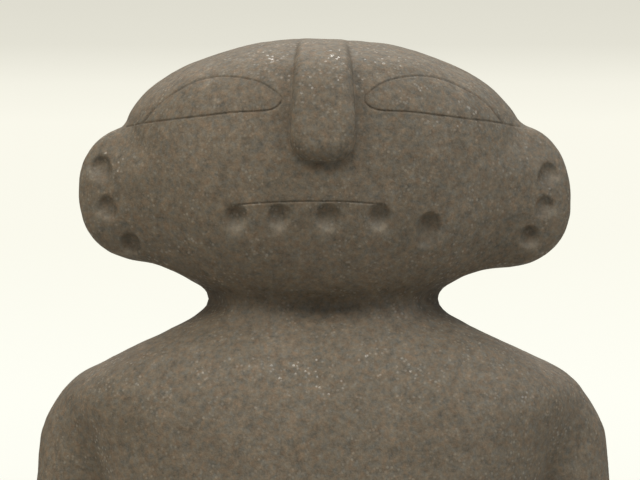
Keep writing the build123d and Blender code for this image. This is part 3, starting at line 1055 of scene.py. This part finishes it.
def make_resin(node, skin, low, high, side, resin):
    """A thin bed between two stones, with the sleeves that hold its dowels."""
    points, faces, attributes = skin
    if side:
        faces = faces[(points[:, 0][faces] * side > 0).all(1)]
    mesh = cut_stone("set_" + node, (points, faces, attributes), low, high)
    shape = bmesh.new()
    shape.from_mesh(mesh)
    joint = node.split("_")[0] if side is None else "ankle"
    for name, sign in (("left", -1), ("right", 1)):
        if side and sign != side:
            continue
        dowel_low, dowel_high = box_mm(f"{name}_{joint}_dowel")
        centre = [(a + b) / 2 for a, b in zip(dowel_low, dowel_high)]
        inner = (dowel_high[0] - dowel_low[0]) / 2
        outer = inner + RESIN_WALL
        bottom, top = dowel_low[2], dowel_high[2]
        under, over = bottom - RESIN_WALL, top + RESIN_WALL
        lathe(shape, [(0, under), (outer, under), (outer, over), (0, over)], centre)
        lathe(shape, [(0, top), (inner, top), (inner, bottom), (0, bottom)], centre)
    shape.to_mesh(mesh)
    shape.free()
    place(new_object("set_" + node, mesh), node, "resin", resin)


def make_slab(stone):
    """The base slab, with small chips along its upper edge."""
    points, normals, faces = slab_skin()
    chips = np.maximum(waves(points, 20.0, 12, 11) - 1.1, 0) * ease((points[:, 2] - SLAB_HIGH[2] + 12) / 8)
    at_edge = 1 - np.abs(normals[:, 2]) ** 4
    points = roughen(points, normals, 0.9 * at_edge + 0.25) - normals * (0.9 * chips * at_edge)[:, None]
    points[:, 2] = np.minimum(points[:, 2], SLAB_HIGH[2])
    # Darker patches at random: the slab's own soiling, with no painted shade.
    shade_and_dirt = np.clip(0.35 * waves(points, 12.0, 8, 13), 0, 1)
    mesh = skin_mesh("carved_base_slab", points, faces, {"shade_and_dirt": shade_and_dirt})
    mesh.shade_smooth()
    place(new_object("carved_base_slab", mesh), "base_slab", "stone", stone)


def make_pad(node, rubber):
    """A moulded disc with a rounded rim and ring grooves underneath."""
    low, high = box_mm(node)
    centre = [(a + b) / 2 for a, b in zip(low, high)]
    radius, top = (high[0] - low[0]) / 2, high[2]
    profile = [(0, top), (radius - 0.6, top), (radius, top - 0.6), (radius, 0.9), (radius - 0.9, 0.0)]
    for ring in (9.0, 6.0, 3.0):
        profile += [(ring + 0.6, 0.0), (ring, 0.5), (ring - 0.6, 0.0)]
    profile.append((0, 0.0))
    shape = bmesh.new()
    lathe(shape, profile, centre, 48)
    bmesh.ops.recalc_face_normals(shape, faces=shape.faces[:])
    mesh = bpy.data.meshes.new("moulded_" + node)
    shape.to_mesh(mesh)
    shape.free()
    place(new_object("moulded_" + node, mesh), node, "pad_rubber", rubber)


def dress_dowels(steel):
    """The CAD dowels keep their shape and get a better material."""
    for joint in ("neck", "waist", "ankle"):
        for side in ("left", "right"):
            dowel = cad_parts[f"{side}_{joint}_dowel"]
            dowel.data.materials.clear()
            dowel.data.materials.append(steel)


# ------------------------ stage, light and camera
FLOOR_RADIUS = 3.0
FLOOR_SOLID = 1.3  # the floor starts to fade here
CAMERA_DISTANCE = 2.5
VIEW_WIDTH = 0.320
VIEW_CENTRE = (-0.00142, 0.3805)  # x and z
SENSOR_WIDTH = 36.0
FLOOR_COLOUR = (0.50, 0.49, 0.46)

# The studio as seen, and as it lights the figure. Each stop has a height, from 0 straight
# down to 1 straight up, and the colour or grey there.
SEEN = [
    (0.30, (0.80, 0.79, 0.74)),
    (0.485, (1.0, 1.0, 0.91)),
    (0.5, (0.965, 0.955, 0.85)),
    (0.514, (0.955, 0.938, 0.83)),
    (0.5205, (0.742, 0.725, 0.633)),
    (0.6, (0.70, 0.69, 0.62)),
]
LIGHTING = [(0.0, 0.02), (0.45, 0.04), (0.6, 0.16), (0.75, 0.36), (0.85, 0.60), (1.0, 0.68)]

# Lamps: name, place, diameter, power, colour
LAMPS = [
    ("key", (-0.17, -1.22, 1.93), 0.6, 14.0, (1.0, 0.985, 0.94)),
    ("left_fill", (-1.50, -0.60, 1.50), 0.9, 11.5, (1.0, 0.94, 0.80)),
    ("right_fill", (1.50, -0.60, 1.50), 0.9, 12.5, (0.92, 0.97, 1.0)),
    ("top_back", (0.0, 1.0, 2.08), 0.8, 16.0, (1.0, 0.985, 0.95)),
]
LAMP_TARGET = (0, 0, 0.35)


def make_floor():
    """A pale disc that fades into the background."""
    shape = bmesh.new()
    bmesh.ops.create_circle(shape, cap_ends=True, segments=96, radius=FLOOR_RADIUS)
    mesh = bpy.data.meshes.new("floor")
    shape.to_mesh(mesh)
    shape.free()
    floor = new_object("floor", mesh)
    material, tree, shader = new_material("floor")
    feed(tree, shader.inputs["Base Color"], FLOOR_COLOUR)
    shader.inputs["Roughness"].default_value = 0.9
    shader.inputs["Specular IOR Level"].default_value = 0.1
    distance = tree.nodes.new("ShaderNodeVectorMath")
    distance.operation = "LENGTH"
    tree.links.new(object_position(tree), distance.inputs[0])
    fade = tree.nodes.new("ShaderNodeMapRange")
    fade.interpolation_type = "SMOOTHSTEP"
    fade.inputs["From Min"].default_value = FLOOR_SOLID
    fade.inputs["From Max"].default_value = FLOOR_RADIUS - 0.1
    fade.inputs["To Min"].default_value = 1.0
    fade.inputs["To Max"].default_value = 0.0
    tree.links.new(distance.outputs["Value"], fade.inputs["Value"])
    tree.links.new(fade.outputs["Result"], shader.inputs["Alpha"])
    mesh.materials.append(material)


def world_colours(tree, height, stops):
    """A background whose colour depends on the height of the direction looked in."""
    background = tree.nodes.new("ShaderNodeBackground")
    tree.links.new(ramp(tree, height, stops), background.inputs["Color"])
    return background.outputs["Background"]


def make_world():
    """A pale studio to look at, and a dimmer one that lights the figure mostly from above."""
    world = bpy.data.worlds.new("studio")
    bpy.context.scene.world = world
    world.use_nodes = True
    tree = world.node_tree
    split = tree.nodes.new("ShaderNodeSeparateXYZ")
    tree.links.new(tree.nodes.new("ShaderNodeTexCoord").outputs["Generated"], split.inputs["Vector"])
    height = tree.nodes.new("ShaderNodeMapRange")
    height.inputs["From Min"].default_value = -1.0
    height.inputs["From Max"].default_value = 1.0
    tree.links.new(split.outputs["Z"], height.inputs["Value"])
    mix = tree.nodes.new("ShaderNodeMixShader")
    tree.links.new(tree.nodes.new("ShaderNodeLightPath").outputs["Is Camera Ray"], mix.inputs["Fac"])
    tree.links.new(world_colours(tree, height.outputs["Result"], LIGHTING), mix.inputs[1])
    tree.links.new(world_colours(tree, height.outputs["Result"], SEEN), mix.inputs[2])
    tree.links.new(mix.outputs["Shader"], tree.nodes["World Output"].inputs["Surface"])


def add_lamp(name, place, diameter, power, colour):
    """A round soft lamp that faces the middle of the figure."""
    data = bpy.data.lights.new(name, "AREA")
    data.shape = "DISK"
    data.size = diameter
    data.energy = power
    data.color = colour
    lamp = bpy.data.objects.new(name, data)
    bpy.context.scene.collection.objects.link(lamp)
    lamp.location = place
    lamp.rotation_mode = "QUATERNION"
    lamp.rotation_quaternion = (Vector(LAMP_TARGET) - Vector(place)).to_track_quat("-Z", "Y")


def make_camera():
    """A level camera straight in front, with a view that is VIEW_WIDTH wide at x, y = 0."""
    data = bpy.data.cameras.new("camera")
    data.sensor_width = SENSOR_WIDTH
    data.lens = SENSOR_WIDTH * CAMERA_DISTANCE / VIEW_WIDTH
    camera = bpy.data.objects.new("camera", data)
    bpy.context.scene.collection.objects.link(camera)
    camera.location = (VIEW_CENTRE[0], -CAMERA_DISTANCE, VIEW_CENTRE[1])
    camera.rotation_euler = (math.pi / 2, 0, 0)
    bpy.context.scene.camera = camera


stone = stone_material("stone", 0.74, 0.30)
make_stones(stone, stone_material("resin", 0.62, 0.42))
make_slab(stone)
rubber = rubber_material()
for pad in PAD_NODES:
    make_pad(pad, rubber)
dress_dowels(steel_material())

make_floor()
make_world()
for lamp_row in LAMPS:
    add_lamp(*lamp_row)
make_camera()
bpy.context.scene.view_settings.view_transform = "Standard"
bpy.context.scene.view_settings.look = "None"
